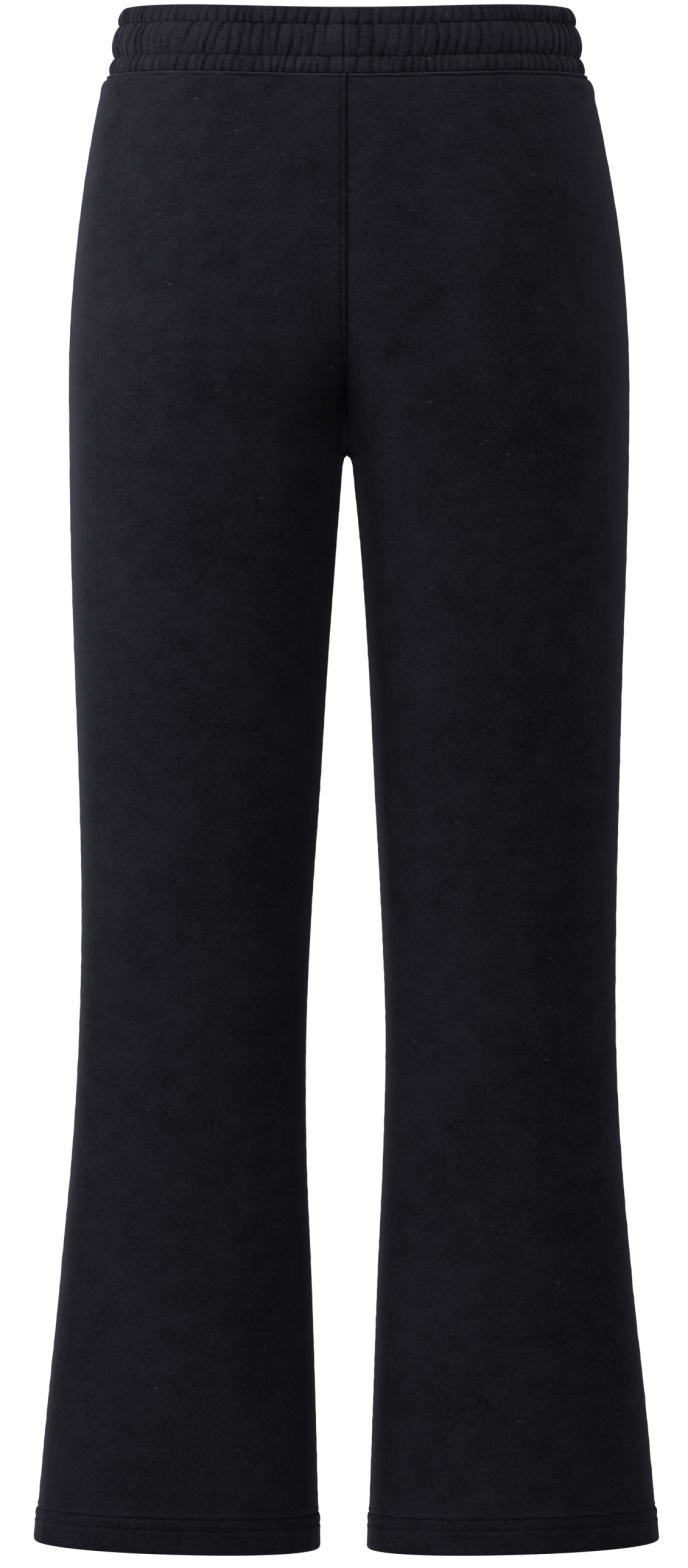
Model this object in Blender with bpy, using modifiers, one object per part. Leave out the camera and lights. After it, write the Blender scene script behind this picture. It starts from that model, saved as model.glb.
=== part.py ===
"""Flared sweatpants, filled out and hollow, made from the pieces that are cut and sewn.

Sizes are in metres. The back faces -Y and the wearer's left is at -X. The origin is in the
middle of the waist opening, at half the waistband's height, where a figure holds them up.
"""

import math

import bmesh
import bpy
import numpy as np

NAME = "flared_sweatpants"

# Cloth and seams.
CLOTH = 0.002
SEAM_GAP = 0.0003

# Levels of the seams.
WAIST_SEAM = -0.025
CROTCH = -0.286
HEM_SEAM = -1.0145
HEM_FOLD = -1.0375

# Each row is a level section. A side is how far out the side seam lies, and an inseam how far
# from the middle. Back and front are depths, and a crown is how far out the deepest place lies.
# A power of 2 rounds the section's inner quarter as an ellipse, and a higher one squares it.
# The sides differ by a few millimetres, as the cloth hangs.
FORM_COLUMNS = (
    "level", "left_side", "right_side", "left_inseam", "right_inseam",
    "back", "front", "back_crown", "front_crown", "inner_power",
)
FORM = (
    (-0.025, 0.1636, 0.1640, 0.0000, 0.0000, 0.1020, 0.1030, 0.058, 0.048, 12.0),
    (-0.031, 0.1674, 0.1680, 0.0000, 0.0000, 0.1055, 0.1055, 0.059, 0.049, 12.0),
    (-0.040, 0.1699, 0.1704, 0.0000, 0.0000, 0.1090, 0.1075, 0.061, 0.050, 12.0),
    (-0.077, 0.1772, 0.1782, 0.0000, 0.0000, 0.1180, 0.1110, 0.066, 0.056, 10.0),
    (-0.140, 0.1858, 0.1885, 0.0000, 0.0000, 0.1275, 0.1135, 0.078, 0.066, 7.0),
    (-0.203, 0.1908, 0.1937, 0.0000, 0.0000, 0.1300, 0.1125, 0.088, 0.078, 5.0),
    (-0.286, 0.1912, 0.1944, 0.0026, 0.0034, 0.1235, 0.1080, 0.095, 0.088, 3.8),
    (-0.350, 0.1903, 0.1930, 0.0073, 0.0094, 0.1130, 0.1040, 0.098, 0.095, 3.0),
    (-0.434, 0.1877, 0.1901, 0.0134, 0.0151, 0.1000, 0.0975, 0.101, 0.101, 2.6),
    (-0.518, 0.1847, 0.1879, 0.0186, 0.0192, 0.0870, 0.0880, 0.102, 0.103, 2.4),
    (-0.602, 0.1832, 0.1860, 0.0244, 0.0237, 0.0755, 0.0785, 0.104, 0.105, 2.3),
    (-0.686, 0.1850, 0.1858, 0.0280, 0.0267, 0.0690, 0.0720, 0.106, 0.107, 2.2),
    (-0.770, 0.1900, 0.1895, 0.0278, 0.0249, 0.0670, 0.0700, 0.109, 0.108, 2.2),
    (-0.854, 0.1978, 0.1969, 0.0244, 0.0211, 0.0675, 0.0710, 0.111, 0.110, 2.2),
    (-0.938, 0.2065, 0.2061, 0.0217, 0.0181, 0.0690, 0.0735, 0.114, 0.113, 2.2),
    (-1.038, 0.2158, 0.2152, 0.0192, 0.0145, 0.0710, 0.0765, 0.117, 0.116, 2.2),
)
OUTER_POWER = 2.1

# The rise is the centre seam. It dips a little into the cloth, and curves in to the crotch.
# Its curve is the height at which it has gone about two thirds of the way back out again.
RISE_CURVE = {"back": 0.028, "front": 0.024}
RISE_HEIGHT = 0.150
RISE_DIP = 0.0015

# The gap between the legs ends in a round arch at the crotch, which keeps near the inseam.
ARCH_DEPTH = 0.010
ARCH_NEARNESS = 8

# The waist line sags at centre back and more at centre front, and a hem is lower at its inseam.
WAIST_SAG = {"back": 0.0032, "front": 0.0080}
WAIST_SAG_REACH = 0.120
WAIST_SAG_FADE = 0.070
HEM_TILT = 0.0032
HEM_TILT_FADE = 0.200

# Each row is a corner of the waistband's closed section, which goes up its face and down inside.
# Out is measured from the waist seam's own line, and gather is how far the pleats swing there.
BAND_COLUMNS = ("level", "out", "gather")
BAND = (
    (-0.0248, -0.0012, 0.0003),
    (-0.0200, 0.0000, 0.0009),
    (-0.0135, -0.0024, 0.0005),
    (-0.0030, -0.0018, 0.0009),
    (0.0084, -0.0058, 0.0005),
    (0.0140, -0.0064, 0.0009),
    (0.0186, -0.0084, 0.0008),
    (0.0206, -0.0102, 0.0005),
    (0.0186, -0.0120, 0.0000),
    (-0.0248, -0.0062, 0.0000),
)
BAND_PLEATS = 72

# Each row is a corner of a hem's closed section. Out is measured from the leg's own line.
HEM_COLUMNS = ("level", "out")
HEM = (
    (-1.0375, -0.0020),
    (-1.0375, 0.0000),
    (-1.0350, 0.0010),
    (-1.0148, 0.0009),
    (-1.0148, -0.0030),
    (-1.0350, -0.0030),
)
HEM_STEPS = 32

# Mesh steps of a panel. The corners are degrees round its inner quarter, and the outer quarter
# has even steps that end in a short one, so that the cloth meets a seam square.
INNER_CORNERS = (0, 5, 20, 37, 54, 71)
OUTER_STEPS = 5
EDGE_STEP = 0.010
WAIST_STEPS = 4
RISE_STEPS = 9
ARCH_STEPS = 3
LEG_STEPS = 11
LEG_CLOSING = 1.6
RISE_CLOSING = 1.8

FLEECE = (0.0125, 0.0118, 0.0160, 1.0)
FLEECE_ROUGHNESS = 0.95

SIGN = {"left": -1, "right": 1, "back": -1, "front": 1}
QUARTER = np.radians(np.arange(91))  # the angles at which a quarter section has points
FLAT = 0.9999  # the share of its depth at which a section that crosses the middle starts


def smooth(at, levels, values):
    """A value at a level, from a cubic curve through a table's rows."""
    slopes = np.gradient(values, levels)
    row = int(np.clip(np.searchsorted(levels, at) - 1, 0, len(levels) - 2))
    span = levels[row + 1] - levels[row]
    t = (min(max(at, levels[0]), levels[-1]) - levels[row]) / span
    start = (2 * t**3 - 3 * t**2 + 1) * values[row] + (t**3 - 2 * t**2 + t) * span * slopes[row]
    end = (3 * t**2 - 2 * t**3) * values[row + 1] + (t**3 - t**2) * span * slopes[row + 1]
    return float(start + end)


def form(column, level):
    """One column of FORM at any level."""
    table = np.array(FORM)[::-1]
    return smooth(level, table[:, 0], table[:, FORM_COLUMNS.index(column)])


def quarter(power, start=0.0):
    """A quarter of a superellipse of size 1, at QUARTER's angles from (1, 0) round to (0, 1).

    The angles that lie lower than start are all put at its height, where the line begins.
    """
    first = math.atan2(start, (1 - start**power) ** (1 / power))
    turn = np.maximum(QUARTER, first)
    c, s = np.cos(turn), np.sin(turn)
    size = (abs(c) ** power + s**power) ** (-1 / power)
    return size * c, size * s


def inner_seam(level, side, face):
    """Where a panel's inner edge lies at a level: the inseam, or the rise seam above the crotch."""
    if level < CROTCH:
        arch = min((CROTCH - level) / ARCH_DEPTH, 1.0)
        return form(f"{side}_inseam", level) * math.sqrt(1 - (1 - arch) ** 2), 0.0
    return 0.0, (form(face, level) - RISE_DIP) * (1 - math.exp((CROTCH - level) / RISE_CURVE[face]))


def half_section(level, side, face, flat=False):
    """A panel's outer line at a level, from its inner seam round to its side seam.

    Both lists are distances from the middle, so they are positive on every side and face.
    A flat line crosses the middle without the rise seam's dip.
    """
    depth, crown, inner = (form(key, level) for key in (face, f"{face}_crown", f"{side}_inseam"))
    seam_x, seam_y = (0.0, FLAT * depth) if flat else inner_seam(level, side, face)
    across, along = quarter(form("inner_power", level), seam_y / depth)
    across = across / across[0]
    inner_x = crown - (crown - inner) * across - (inner - seam_x) * across**ARCH_NEARNESS
    inner_y = depth * along
    along, across = quarter(OUTER_POWER)
    outer_x = crown + (form(f"{side}_side", level) - crown) * across
    outer_y = depth * along
    return np.append(inner_x, outer_x[1:]), np.append(inner_y, outer_y[1:])


def lengths(x, y):
    """How far along a line each of its points lies."""
    return np.append(0.0, np.cumsum(np.hypot(np.diff(x), np.diff(y))))


def warped(x, y, level):
    """A point's height, once the waist has sagged and the hem has tilted."""
    face = "back" if y < 0 else "front"
    middle = max(1 - (x / WAIST_SAG_REACH) ** 2, 0.0) ** 2 * min(abs(y) / form(face, level), 1.0)
    waist = max(1 - max(WAIST_SEAM - level, 0.0) / WAIST_SAG_FADE, 0.0)
    hem = max(1 - (level - HEM_FOLD) / HEM_TILT_FADE, 0.0)
    tilt = abs(x) / form("back_crown", level) - 1
    return level - WAIST_SAG[face] * middle * waist**2 + HEM_TILT * tilt * hem**2


def grid_object(name, columns, rows, place, outward=True, caps=False):
    """An object on a grid of columns by rows, with each point where place(column, row) puts it.

    Points that coincide are joined, so a grid can close round on itself either way. Outward is
    whether its faces already point out, and caps close its open ends.
    """
    bm = bmesh.new()
    bmesh.ops.create_grid(bm, x_segments=columns, y_segments=rows, size=0.5)
    for vert in bm.verts:
        column, row = round((vert.co.x + 0.5) * columns), round((vert.co.y + 0.5) * rows)
        vert.co = place(column, row)
    bmesh.ops.remove_doubles(bm, verts=bm.verts, dist=0.00001)
    if not outward:
        bmesh.ops.reverse_faces(bm, faces=bm.faces)
    if caps:
        bmesh.ops.holes_fill(bm, edges=[e for e in bm.edges if e.is_boundary])
    mesh = bpy.data.meshes.new(name)
    bm.to_mesh(mesh)
    bm.free()
    mesh.shade_smooth()
    mesh.materials.append(cloth_material(name))
    obj = bpy.data.objects.new(name, mesh)
    bpy.data.collections[NAME].objects.link(obj)
    obj.parent = bpy.data.objects[NAME]
    return obj


def cloth_material(name):
    material = bpy.data.materials.new(f"{name}_fleece")
    material.use_nodes = True
    shader = material.node_tree.nodes["Principled BSDF"]
    shader.inputs["Base Color"].default_value = FLEECE
    shader.inputs["Roughness"].default_value = FLEECE_ROUGHNESS
    material.diffuse_color = FLEECE
    return material


def panel_levels():
    """The levels of a panel's rows from hem to waist, closest where the seams turn."""
    hem = HEM_SEAM + SEAM_GAP / 2
    arch = CROTCH - ARCH_DEPTH * (np.arange(ARCH_STEPS, 0, -1) / ARCH_STEPS) ** 2
    fall = (np.arange(LEG_STEPS, 0, -1) / LEG_STEPS) ** LEG_CLOSING
    leg = arch[0] - (arch[0] - hem - EDGE_STEP) * fall
    rise = CROTCH + RISE_HEIGHT * (np.arange(RISE_STEPS + 1) / RISE_STEPS) ** RISE_CLOSING
    top = WAIST_SEAM - SEAM_GAP / 2
    waist = top - (top - rise[-1]) * (np.arange(WAIST_STEPS - 1, -1, -1) / WAIST_STEPS) ** 2
    return [hem, *leg, *arch, *rise, *waist]


def build_panel(side, face):
    """A leg's front or back panel, whose cloth goes inwards from its outer surface."""
    levels = panel_levels()
    lines = []
    for level in levels:
        x, y = half_section(max(level, levels[1]), side, face)
        crown = len(QUARTER) - 1
        along = lengths(x[crown:], y[crown:])
        steps = np.append(np.linspace(0.0, along[-1] - EDGE_STEP, OUTER_STEPS + 1), along[-1])
        corners = list(INNER_CORNERS)
        lines.append((
            np.append(x[corners], np.interp(steps, along, x[crown:])),
            np.append(y[corners], np.interp(steps, along, y[crown:])),
        ))

    def place(column, row):
        x = SIGN[side] * max(lines[row][0][column], SEAM_GAP / 2)
        y = SIGN[face] * max(lines[row][1][column], SEAM_GAP / 2)
        return x, y, warped(x, y, levels[row])

    columns, outward = len(lines[0][0]) - 1, SIGN[side] * SIGN[face] < 0
    panel = grid_object(f"{face}_panel_{side}", columns, len(levels) - 1, place, outward)
    wall = panel.modifiers.new("cloth", "SOLIDIFY")
    wall.thickness = CLOTH
    wall.offset = -1.0


def ring(quarters, level, flat=False):
    """A closed line round the cloth at a level, with the way out at each of its points.

    Quarters are (side, face) pairs in the order that the line meets them. A flat one runs
    straight across the middle, without the dip of the centre seam.
    """
    runs = []
    for index, (side, face) in enumerate(quarters):
        x, y = half_section(level, side, face, flat)
        run = np.column_stack([SIGN[side] * x, SIGN[face] * y])
        runs.append(run[:-1] if index % 2 == 0 else run[:0:-1])
    line = np.concatenate(runs)
    ahead, behind = np.roll(line, -1, axis=0), np.roll(line, 1, axis=0)
    step = ahead - behind
    turn = np.sign(np.sum(line[:, 0] * ahead[:, 1] - line[:, 1] * ahead[:, 0]))
    out = turn * np.column_stack([step[:, 1], -step[:, 0]]) / np.hypot(*step.T)[:, None]
    return np.vstack([line, line[:1]]), np.vstack([out, out[:1]])


def spread(line, out, count, gap=0.0):
    """Points at even steps round a closed line, as (x, y, out_x, out_y) rows."""
    along = lengths(*line.T)
    steps = np.linspace(gap / 2, along[-1] - gap / 2, count + 1)
    return np.column_stack([np.interp(steps, along, values) for values in (*line.T, *out.T)])


def build_waistband():
    """The gathered band, a ring that is open by a seam's gap at centre back."""
    quarters = [("right", "back"), ("right", "front"), ("left", "front"), ("left", "back")]
    line, out = ring(quarters, WAIST_SEAM, flat=True)
    columns = 2 * BAND_PLEATS
    points = spread(line, out, columns, SEAM_GAP)

    def place(column, row):
        corner = dict(zip(BAND_COLUMNS, BAND[row % len(BAND)]))
        x, y, out_x, out_y = points[column]
        swing = 0 if column in (0, columns) else (-1) ** column
        out = corner["out"] + corner["gather"] * swing
        return x + out_x * out, y + out_y * out, warped(x, y, corner["level"])

    grid_object("waistband", columns, len(BAND), place, caps=True)


def build_hem(side):
    """A leg's turned-up hem, a doubled ring that stands a little proud of the leg."""
    corners = [dict(zip(HEM_COLUMNS, corner)) for corner in HEM]
    rings = [ring([(side, "back"), (side, "front")], corner["level"]) for corner in corners]
    points = [spread(line, out, HEM_STEPS) for line, out in rings]

    def place(column, row):
        corner = corners[row % len(HEM)]
        x, y, out_x, out_y = points[row % len(HEM)][column]
        out = corner["out"]
        return x + out_x * out, y + out_y * out, warped(x, y, corner["level"])

    grid_object(f"hem_{side}", HEM_STEPS, len(HEM), place, outward=side == "right")


def main():
    for old in list(bpy.data.objects):
        bpy.data.objects.remove(old)
    bpy.context.scene.collection.children.link(bpy.data.collections.new(NAME))
    garment = bpy.data.objects.new(NAME, None)
    bpy.data.collections[NAME].objects.link(garment)
    build_waistband()
    for side in ("left", "right"):
        for face in ("back", "front"):
            build_panel(side, face)
        build_hem(side)


main()
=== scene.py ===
"""Flared sweatpants, dressed: fleece panels, a gathered waistband, turned hems and their thread.

Sizes are in metres. The back faces -Y and the wearer's left is at -X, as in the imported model.
Each piece is a fine grid laid on the garment's form, with its seams, gathers and folds put in.
"""

import math

import bmesh
import bpy
import numpy as np
from bpy.props import FloatProperty, FloatVectorProperty, PointerProperty
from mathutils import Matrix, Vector


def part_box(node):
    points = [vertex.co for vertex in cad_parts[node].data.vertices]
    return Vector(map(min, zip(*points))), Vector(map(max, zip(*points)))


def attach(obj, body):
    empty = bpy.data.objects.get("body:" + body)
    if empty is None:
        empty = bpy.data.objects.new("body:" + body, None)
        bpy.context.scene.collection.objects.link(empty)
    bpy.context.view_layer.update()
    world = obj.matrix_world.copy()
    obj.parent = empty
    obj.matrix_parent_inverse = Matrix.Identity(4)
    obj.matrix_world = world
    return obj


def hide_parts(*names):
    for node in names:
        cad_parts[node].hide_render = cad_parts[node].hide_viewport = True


bl_info = {
    "name": "Flared Sweatpants",
    "version": (1, 0, 0),
    "blender": (4, 5, 0),
    "location": "View3D > Sidebar > Sweatpants",
    "description": "Dresses a pair of flared sweatpants in fleece, gathers, seams and thread",
    "category": "Object",
}

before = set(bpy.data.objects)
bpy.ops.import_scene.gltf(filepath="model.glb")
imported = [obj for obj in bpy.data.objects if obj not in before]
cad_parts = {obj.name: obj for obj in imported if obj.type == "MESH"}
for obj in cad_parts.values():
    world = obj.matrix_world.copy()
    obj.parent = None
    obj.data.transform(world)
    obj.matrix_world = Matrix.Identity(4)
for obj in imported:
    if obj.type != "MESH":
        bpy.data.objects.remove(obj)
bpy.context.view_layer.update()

CLOTH = 0.002
SEAM_GAP = 0.0003
SIGN = {"left": -1, "right": 1, "back": -1, "front": 1}

# Levels of the seams. The panels end half a gap under the waist seam.
WAIST_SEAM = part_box("back_panel_left")[1].z + SEAM_GAP / 2
CROTCH = -0.286
CROTCH_EASE = 0.012  # how far from the crotch the seams lie flatter and closer
FORK = -0.2872  # where the inner edges of the legs part
HEM_SEAM = -1.0145
HEM_FOLD = -1.0387

# Each row is a level section of the legs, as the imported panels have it. A side is how far out
# the side seam lies, an inseam how far from the middle, and a crown where the deepest place is.
FORM_COLUMNS = (
    "level", "left_side", "right_side", "left_inseam", "right_inseam",
    "back", "front", "back_crown", "front_crown", "inner_power",
)
FORM = (
    (-0.025, 0.1636, 0.1640, 0.0000, 0.0000, 0.1020, 0.1030, 0.058, 0.048, 12.0),
    (-0.031, 0.1674, 0.1680, 0.0000, 0.0000, 0.1055, 0.1055, 0.059, 0.049, 12.0),
    (-0.040, 0.1699, 0.1704, 0.0000, 0.0000, 0.1090, 0.1075, 0.061, 0.050, 12.0),
    (-0.077, 0.1772, 0.1782, 0.0000, 0.0000, 0.1180, 0.1110, 0.066, 0.056, 10.0),
    (-0.140, 0.1858, 0.1885, 0.0000, 0.0000, 0.1275, 0.1135, 0.078, 0.066, 7.0),
    (-0.203, 0.1908, 0.1937, 0.0000, 0.0000, 0.1300, 0.1125, 0.088, 0.078, 5.0),
    (-0.286, 0.1912, 0.1944, 0.0026, 0.0034, 0.1235, 0.1080, 0.095, 0.088, 3.8),
    (-0.350, 0.1903, 0.1930, 0.0073, 0.0094, 0.1130, 0.1040, 0.098, 0.095, 3.0),
    (-0.434, 0.1877, 0.1901, 0.0134, 0.0151, 0.1000, 0.0975, 0.101, 0.101, 2.6),
    (-0.518, 0.1847, 0.1879, 0.0186, 0.0192, 0.0870, 0.0880, 0.102, 0.103, 2.4),
    (-0.602, 0.1832, 0.1860, 0.0244, 0.0237, 0.0755, 0.0785, 0.104, 0.105, 2.3),
    (-0.686, 0.1850, 0.1858, 0.0280, 0.0267, 0.0690, 0.0720, 0.106, 0.107, 2.2),
    (-0.770, 0.1900, 0.1895, 0.0278, 0.0249, 0.0670, 0.0700, 0.109, 0.108, 2.2),
    (-0.854, 0.1978, 0.1969, 0.0244, 0.0211, 0.0675, 0.0710, 0.111, 0.110, 2.2),
    (-0.938, 0.2065, 0.2061, 0.0217, 0.0181, 0.0690, 0.0735, 0.114, 0.113, 2.2),
    (-1.038, 0.2158, 0.2152, 0.0192, 0.0145, 0.0710, 0.0765, 0.117, 0.116, 2.2),
)
OUTER_POWER = 2.1
RISE_CURVE = {"back": 0.028, "front": 0.024}  # the height in which the rise gains its depth
RISE_DIP = 0.0015  # how far the rise seam draws the cloth in
ARCH_DEPTH = 0.010  # how high the arch between the legs is
ARCH_NEARNESS = 8  # the power that keeps the arch close to its seam
WAIST_SAG = {"back": 0.0038, "front": 0.0080}
WAIST_SAG_REACH = 0.165
WAIST_SAG_FADE = 0.070
HEM_TILT = 0.0032
HEM_TILT_FADE = 0.200
WAIST_RING = (("right", "back"), ("right", "front"), ("left", "front"), ("left", "back"))

# Steps of a panel's rows and columns where they lie close, from its edge or seam inwards.
HEM_ROWS = (0.0, 0.0004, 0.0008, 0.0013, 0.0018, 0.0024, 0.0031, 0.0040, 0.0052)
INNER_COLUMNS = (
    0, 0.0004, 0.0008, 0.0013, 0.0019, 0.0026, 0.0033, 0.0038, 0.0042, 0.0047, 0.0054, 0.0066,
    0.0084,
)
OUTER_COLUMNS = (0, 0.0005, 0.0011, 0.0019, 0.0030, 0.0048)

# How many rows or columns of points each stretch of cloth has, and each row of stitches.
LEG_ROWS = 184
SEAT_ROWS = 66
MIDDLE_COLUMNS = 92
BAND_COLUMNS = 1761
HEM_COLUMNS = 561
HEM_STEPS = (36, 10)  # rows of a hem's face, and of its inner ply
BAND_STITCH_POINTS = 900
HEM_STITCH_POINTS = 500
RISE_STITCH_POINTS = 200
ALLOWANCE_POINTS = {"rise": 120, "inseam": 120, "side": 160, "waist": 600}

# The waistband's face, as out from the waist seam's line at each seam and stitched row, and how
# far the cloth puffs out between them. Above the last row it turns over and runs down inside.
BAND_ROWS = (-0.0248, -0.0135, 0.0084, 0.0202)
BAND_OUT = (-0.0009, -0.0041, -0.0072, -0.0103)
BAND_PUFF = (0.0018, 0.0031, 0.0019)
BAND_STEPS = (13, 20, 14)
BAND_INSIDE = ((0.0194, -0.0119), (0.0178, -0.0126), (-0.0248, -0.0072))
BAND_JOINT = -0.0021  # how far across the band's joint lies, at centre back
BAND_SIDES = (0.155, -0.155)  # how far across the gathers crowd together

# Gathers of the waistband's back, in millimetres across from its middle. Each row is a crease
# from its top to its low end, then how deep it is at its top and at its low end, as shares.
GATHERS = (
    (
        (-155.0, -156.8, 0.8, 0.8), (-152.2, -153.5, 0.4, 0.4), (-150.6, -151.4, 0.5, 0.5),
        (-147.3, -148.6, 0.9, 0.9), (-142.8, -144.5, 1.2, 1.2), (-138.4, -139.2, 0.5, 0.7),
        (-135.9, -136.6, 0.3, 0.3), (-131.1, -132.2, 0.9, 1.0), (-127.3, -127.8, 0.6, 0.6),
        (-124.8, -125.6, 0.3, 0.5), (-121.9, -122.5, 0.5, 0.6), (-119.4, -119.9, 0.4, 0.3),
        (-114.6, -117.0, 1.0, 1.2), (-107.3, -108.9, 1.0, 1.0), (-100.7, -101.9, 0.6, 0.5),
        (-95.0, -98.1, 1.0, 1.2), (-88.1, -89.4, 0.8, 0.8), (-83.0, -83.9, 0.1, 1.0),
        (-74.9, -78.3, 0.8, 0.6), (-69.3, -71.9, 0.6, 0.4), (-60.9, -63.3, 0.7, 1.1),
        (-57.9, -56.3, 0.8, 0.6), (-50.4, -51.2, 0.8, 0.9), (-44.5, -47.4, 0.6, 1.2),
        (-40.3, -42.9, 1.0, 0.9), (-34.6, -35.2, 1.0, 0.8), (-26.9, -30.4, 0.3, 0.9),
        (-23.2, -25.0, 0.3, 1.0), (-19.4, -19.9, 0.0, 1.0), (-11.7, -12.5, 1.0, 0.9),
        (7.7, 5.6, 1.1, 0.6), (17.2, 16.7, 1.0, 0.9), (23.6, 23.4, 0.9, 0.4),
        (29.5, 29.2, 0.9, 0.0), (32.6, 31.8, 0.1, 0.6), (40.0, 37.9, 1.0, 0.9),
        (40.2, 40.5, 0.0, 0.7), (45.1, 44.8, 1.0, 0.9), (49.6, 49.1, 0.9, 0.8),
        (54.2, 54.6, 1.3, 1.3), (59.9, 60.2, 0.9, 0.9), (65.0, 65.0, 1.0, 0.8),
        (70.5, 70.0, 0.7, 0.6), (75.9, 76.2, 0.9, 0.3), (83.0, 81.9, 0.5, 0.5),
        (89.8, 89.4, 0.9, 0.1), (96.4, 95.8, 1.0, 1.1), (102.1, 101.5, 1.1, 1.2),
        (108.4, 109.0, 1.0, 0.8), (114.5, 114.2, 0.7, 0.7), (120.0, 118.6, 1.2, 1.2),
        (123.9, 123.3, 0.6, 0.7), (127.8, 128.1, 1.0, 1.0), (132.8, 133.1, 1.1, 1.1),
        (138.1, 137.9, 1.1, 0.8), (142.5, 142.9, 0.1, 0.8), (145.7, 147.4, 0.7, 0.9),
        (150.2, 151.0, 0.1, 0.6), (153.3, 155.5, 0.8, 0.8), (157.5, 159.3, 0.8, 0.7),
    ),
    (
        (-156.5, -155.9, -155.7, 0.5, 0.5), (-149.1, -151.0, -153.4, 1.0, 0.9),
        (-143.7, -146.0, -146.1, 1.0, 1.1), (-140.3, -142.3, -141.4, 1.0, 1.0),
        (-134.3, -136.5, -137.3, 0.6, 0.6), (-129.8, -131.5, -131.0, 0.7, 0.4),
        (-124.3, -127.4, -126.8, 0.5, 0.5), (-117.6, -121.2, -121.6, 0.6, 0.6),
        (-106.5, -110.2, -114.8, 1.4, 0.5), (-100.1, -101.0, -104.7, 0.6, 0.5),
        (-92.0, -95.3, -98.5, 1.0, 1.1), (-84.6, -88.7, -92.3, 1.4, 0.5),
        (-78.6, -79.4, -81.6, 0.9, 0.9), (-69.8, -71.1, -74.6, 0.6, 0.9),
        (-62.7, -65.2, -64.9, 1.3, 0.5), (-55.5, -57.0, -58.2, 1.0, 0.9),
        (-52.1, -52.3, -52.4, 0.8, 0.0), (-45.1, -46.9, -48.0, 1.3, 0.9),
        (-36.2, -36.5, -39.7, 0.6, 1.3), (-30.4, -29.9, -33.0, 0.5, 0.7),
        (-21.3, -22.4, -25.3, 1.2, 0.9), (-14.0, -14.1, -14.0, 1.4, 0.0),
        (7.2, 8.4, 5.9, 1.4, 0.7), (15.1, 15.4, 15.8, 0.8, 0.0),
        (17.5, 18.0, 16.2, 1.1, 1.2), (26.5, 27.1, 23.9, 0.6, 1.0),
        (35.8, 35.8, 33.1, 0.6, 0.7), (43.2, 44.1, 42.6, 1.1, 0.8),
        (47.5, 47.7, 48.0, 0.6, 0.0), (49.8, 49.6, 49.4, 0.8, 0.0),
        (55.4, 54.0, 50.9, 0.3, 1.0), (60.5, 62.1, 60.2, 1.3, 1.3),
        (69.4, 69.2, 66.3, 0.7, 1.1), (77.0, 76.2, 73.8, 0.6, 1.1),
        (85.2, 83.2, 81.0, 0.7, 1.0), (90.3, 92.0, 89.2, 1.0, 1.1),
        (97.8, 99.0, 97.2, 0.8, 0.7), (107.0, 106.6, 105.7, 0.1, 1.3),
        (111.7, 112.6, 111.5, 0.5, 1.2), (118.6, 119.4, 118.6, 1.1, 1.1),
        (124.1, 124.7, 124.1, 1.0, 1.0), (128.9, 130.6, 130.3, 1.2, 1.3),
        (137.0, 137.2, 135.4, 0.4, 1.0), (142.7, 142.8, 141.6, 1.1, 1.2),
        (148.6, 147.4, 146.9, 1.0, 1.0), (151.7, 151.6, 151.7, 0.9, 1.1),
        (156.0, 155.0, 154.8, 0.7, 0.8),
    ),
    (
        (-153.5, -154.3, 0.4, 0.4), (-151.2, -151.5, 0.6, 0.6), (-147.5, -148.8, 0.7, 0.7),
        (-143.8, -145.7, 0.7, 0.9), (-141.7, -142.3, 0.4, 0.7), (-137.1, -137.7, 0.9, 1.0),
        (-134.4, -135.4, 0.3, 0.3), (-129.8, -131.8, 0.9, 1.0), (-126.8, -128.3, 0.3, 0.3),
        (-123.5, -126.3, 0.9, 1.0), (-118.1, -119.8, 0.8, 1.1), (-114.9, -116.3, 0.3, 0.3),
        (-111.7, -113.1, 0.6, 0.8), (-106.5, -107.5, 0.1, 0.5), (-101.1, -103.7, 0.4, 0.6),
        (-95.0, -97.6, 0.5, 0.9), (-91.8, -93.8, 0.3, 0.3), (-88.1, -90.1, 0.6, 0.9),
        (-80.5, -81.6, 0.8, 1.0), (-73.5, -75.7, 0.8, 1.1), (-67.9, -70.1, 0.2, 0.9),
        (-63.2, -65.0, 0.7, 0.9), (-56.2, -58.0, 0.2, 0.7), (-48.0, -49.6, 0.6, 1.1),
        (-40.3, -42.4, 0.9, 1.1), (-31.8, -33.6, 0.5, 0.9), (-24.9, -28.4, 0.9, 1.3),
        (-17.9, -19.3, 0.8, 1.2), (-10.7, -13.1, 1.0, 1.2), (9.3, 7.1, 0.8, 1.3),
        (17.1, 16.6, 0.8, 1.0), (24.1, 23.3, 0.7, 0.9), (30.6, 30.0, 0.1, 0.5),
        (39.2, 38.8, 0.8, 1.0), (45.8, 44.7, 1.0, 1.1), (54.0, 51.0, 0.6, 1.1),
        (59.3, 58.5, 0.7, 0.8), (66.8, 65.8, 0.5, 0.5), (72.7, 72.7, 0.5, 0.9),
        (79.8, 78.8, 0.4, 0.6), (85.0, 86.4, 0.9, 1.1), (93.3, 94.5, 1.0, 1.2),
        (99.9, 100.5, 0.7, 0.7), (103.8, 104.8, 0.5, 0.7), (109.3, 110.3, 0.7, 0.9),
        (114.4, 115.4, 0.8, 1.0), (118.9, 120.0, 1.0, 1.0), (122.8, 123.8, 0.9, 1.0),
        (128.2, 127.4, 0.5, 0.7), (132.4, 132.0, 1.0, 1.1), (137.5, 136.1, 0.6, 0.9),
        (142.2, 141.9, 0.9, 1.2), (146.9, 146.4, 0.7, 0.9), (151.3, 149.9, 0.5, 0.7),
        (153.5, 152.9, 0.4, 0.4),
    ),
)

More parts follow.
